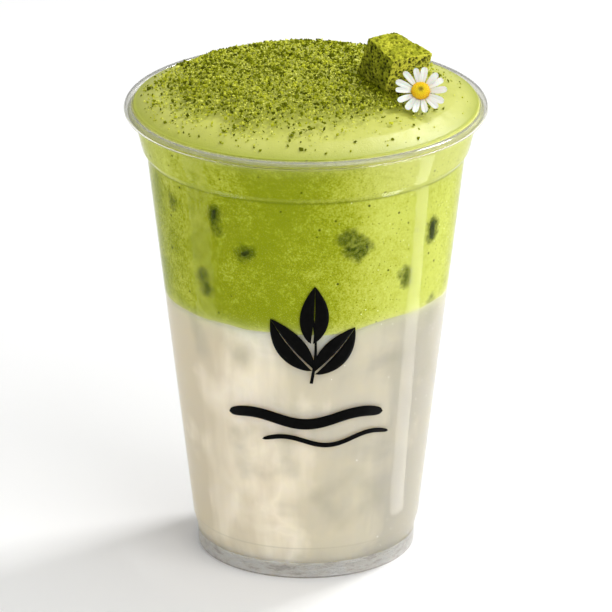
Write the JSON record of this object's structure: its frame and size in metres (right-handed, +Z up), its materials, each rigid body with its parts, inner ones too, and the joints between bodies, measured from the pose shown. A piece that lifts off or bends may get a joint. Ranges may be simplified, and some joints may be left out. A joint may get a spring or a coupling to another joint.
{
  "type": "matcha latte",
  "caption": "Iced matcha latte in a clear plastic cold cup: milk below, a green foam layer and dome above, with a sponge cake cube and a daisy on top.",
  "frame": {"origin": "centre of the cup's foot, on the plane the cup stands on", "axes": "+Z up along the cup's axis, -Y towards the printed front, +X to its right, where the garnish lies"},
  "size_m": [0.098, 0.098, 0.1482],
  "materials": {
    "clear_plastic": "polished",
    "milk": "gloss",
    "matcha_foam": "satin",
    "matcha_sponge": "matte",
    "petal": "satin",
    "pollen": "matte",
    "calyx": "matte",
    "matcha_powder": "matte",
    "ice": "polished",
    "print_ink": "satin"
  },
  "bodies": {
    "root": {"cup": "clear_plastic", "milk": "milk", "matcha_foam": "matcha_foam", "cake_cube": "matcha_sponge", "daisy_petals": "petal", "daisy_centre": "pollen", "daisy_calyx": "calyx"}
  },
  "joints": []
}
